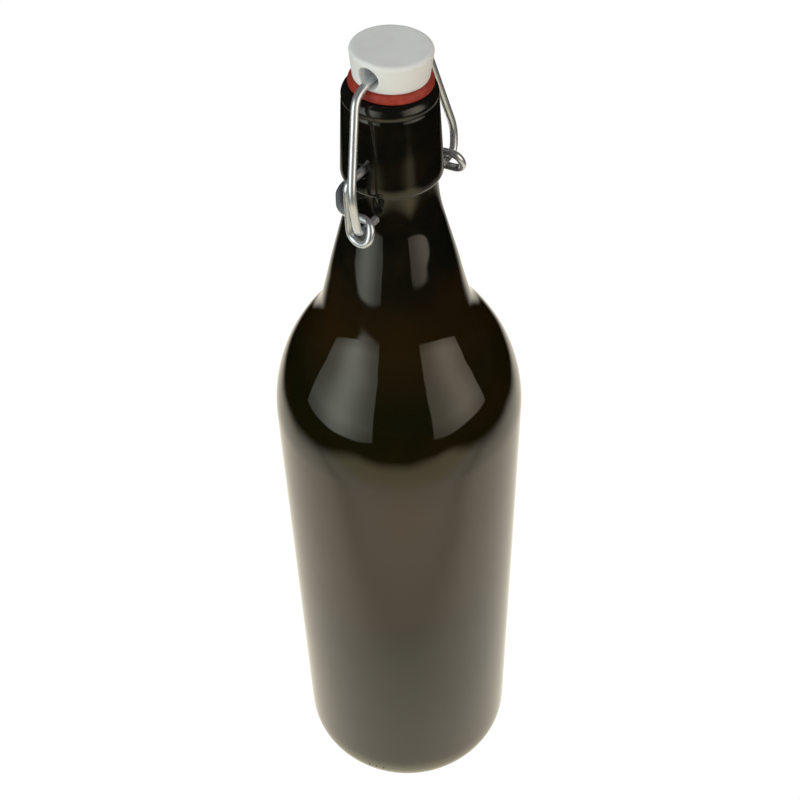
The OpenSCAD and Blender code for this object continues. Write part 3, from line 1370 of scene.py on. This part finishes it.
@dataclass(frozen=True)
class Studio:
    """Pale table, soft light and the camera."""

    table_r: float = 2.5
    # The camera, and the way it looks down on the bottle.
    azimuth: float = 126.2
    ground: float = 0.3132
    height: float = 0.5186
    pitch: float = 46.0013
    roll: float = 1.7288
    lens: float = 58.829
    shift: float = 0.00108
    # The table that the camera sees, and the lit patch that the bottle reflects. The patch's depths
    # are metres beyond the bottle's axis as the camera looks, and its sides metres off its centre.
    paper: float = 1.02
    floor_light: float = 1.06
    patch_depth: Zone = (-0.53, -0.33, 0.26, 0.49)
    patch_side: Pair = (0.27, 0.43)
    patch_centre: float = 0.01
    narrow_from: float = 0.10
    narrowing: float = 0.45
    dip: float = 0.2
    dip_at: float = -0.126
    dip_w: float = 0.03
    tone_from: Pair = (-0.28, -0.16)
    near_tone: Colour = (1.0, 0.89, 0.58)
    far_tone: Colour = (1.0, 0.925, 0.77)
    # Strength of what reflections, matt surfaces and the camera see of the room.
    room: float = 0.014
    ambient: float = 0.43
    backdrop: float = 1.05
    panel_top: float = 0.94
    fill: float = 0.9
    fill_size: float = 0.5
    fill_turn: float = -22.0
    fill_at: Pair = (0.62, 0.75)
    fill_aim: float = 0.33

    def patch(self, g: ShaderGraph) -> Socket:
        """The table as the bottle sees it: a lit patch that lights it from below.

        Args:
            g: the table's graph.
        Returns:
            The shader's socket.
        """
        turned = g.node(
            "ShaderNodeMapping",
            {"Vector": g.coords(), "Rotation": (0, 0, math.radians(self.azimuth))},
            vector_type="TEXTURE",
        )
        split = g.node("ShaderNodeSeparateXYZ", {"Vector": turned.outputs[0]})
        right, ahead = Wire(g, split.outputs["X"]), Wire(g, split.outputs["Y"])
        behind = (ahead - self.narrow_from).at_least(0.0)
        reach = (right - self.patch_centre).magnitude() + behind * self.narrowing
        dip = ((ahead - self.dip_at) / self.dip_w).bell() * self.dip
        light = (1 - reach.step(*self.patch_side)) * ahead.band(self.patch_depth) * (1 - dip)
        tone = g.mix(ahead.step(*self.tone_from), self.near_tone, self.far_tone)
        shine = g.node("ShaderNodeEmission", {"Color": tone, "Strength": light * self.floor_light})
        return shine.outputs[0]

    def table(self) -> Obj:
        """A white table for the camera, and a lit patch for the bottle's reflections.

        Returns:
            The table.
        """
        turns = even_turns(96)
        points = np.stack([np.cos(turns), np.sin(turns), turns * 0], 1) * self.table_r / MM
        points[:, 2] = -0.05
        table = mesh_object("pale_table", points, [list(range(len(turns)))])
        g = ShaderGraph("pale_table")
        fibre = g.mix(g.grain(9, 4) * 0.05, (1, 1, 1), (0.9, 0.9, 0.9))
        paper = g.node("ShaderNodeEmission", {"Color": fibre, "Strength": self.paper})
        path = g.node("ShaderNodeLightPath")
        both = g.node(
            "ShaderNodeMixShader",
            {0: path.outputs["Is Camera Ray"], 1: self.patch(g), 2: paper.outputs[0]},
        )
        g.node("ShaderNodeOutputMaterial", {"Surface": both.outputs[0]})
        table.data.materials.append(g.material)
        return table

    def world(self) -> None:
        """White behind the object, soft light on matt surfaces, a dim room in reflections."""
        world = bpy.data.worlds.new("studio")
        world.use_nodes = True
        g = NodeGraph(world.node_tree)
        path = g.node("ShaderNodeLightPath")
        dim, soft, white = (
            g.node("ShaderNodeBackground", {0: colour, 1: strength}).outputs[0]
            for colour, strength in (
                ((1.0, 0.97, 0.93, 1.0), self.room),
                ((0.98, 1.0, 1.02, 1.0), self.ambient),
                ((1.0, 1.0, 1.0, 1.0), self.backdrop),
            )
        )
        seen = dim
        for ray, other in (("Is Diffuse Ray", soft), ("Is Camera Ray", white)):
            mix = g.node("ShaderNodeMixShader", {0: path.outputs[ray], 1: seen, 2: other})
            seen = mix.outputs[0]
        g.node("ShaderNodeOutputWorld", {0: seen})
        bpy.context.scene.world = world

    def lights(self) -> None:
        """Two softboxes, cool on the left and warm on the right, and a fill that gives no glint."""
        az = self.azimuth
        for name, face, left, right, low, glow, peak, hot, tint in (
            ("softbox_left", -55, -88, -23, 0.04, 0.82, 1.9, -54, (0.93, 1.0, 0.92)),
            ("softbox_right", 54, 27, 81, 0.075, 1.0, 1.25, 60, (1.02, 0.92, 0.77)),
        ):
            angles = (az + face, az + left, az + right, az + hot)
            Softbox(name, *angles, low, self.panel_top, glow, peak, tint).build()
        data = bpy.data.lights.new("fill", "AREA")
        data.shape = "DISK"
        data.size = self.fill_size
        data.energy = self.fill
        fill = bpy.data.objects.new("fill", data)
        a = math.radians(az + self.fill_turn)
        out, up = self.fill_at
        aim = Vector((math.sin(a) * out, -math.cos(a) * out, up - self.fill_aim))
        fill.location = aim + Vector((0, 0, self.fill_aim))
        fill.rotation_mode = "QUATERNION"
        fill.rotation_quaternion = aim.to_track_quat("Z", "Y")
        fill.visible_camera = False
        fill.visible_glossy = False
        bpy.context.scene.collection.objects.link(fill)

    def camera(self) -> None:
        """Sets the camera, looking down on the bottle from the front right."""
        a, p, r = (math.radians(v) for v in (self.azimuth, self.pitch, self.roll))
        ahead = Vector((-math.sin(a) * math.cos(p), math.cos(a) * math.cos(p), -math.sin(p)))
        level = ahead.cross(Vector((0, 0, 1))).normalized()
        upright = level.cross(ahead)
        right = level * math.cos(r) - upright * math.sin(r)
        up = level * math.sin(r) + upright * math.cos(r)
        data = bpy.data.cameras.new("camera")
        data.lens = self.lens
        data.sensor_width = 36.0
        data.shift_x = self.shift
        data.clip_start = 0.01
        data.clip_end = 10.0
        camera = bpy.data.objects.new("camera", data)
        spot = Vector((math.sin(a) * self.ground, -math.cos(a) * self.ground, self.height))
        turn = Matrix((right, up, -ahead)).transposed().to_4x4()
        camera.matrix_world = Matrix.Translation(spot) @ turn
        bpy.context.scene.collection.objects.link(camera)
        bpy.context.scene.camera = camera

    def build(self) -> None:
        """Makes the camera, the table, the room and the lights."""
        self.camera()
        self.table()
        self.world()
        self.lights()
        bpy.context.scene.view_settings.view_transform = "Standard"
        bpy.context.scene.view_settings.look = "None"


def main() -> None:
    """Builds the studio and dresses every piece of the bottle."""
    logging.basicConfig(level=logging.INFO, format="%(name)s %(message)s")
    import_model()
    Studio().build()
    GlassBottle().build()
    Stopper().build()
    Gasket().build()
    Toggle().build()


if __name__ == "__main__":
    main()
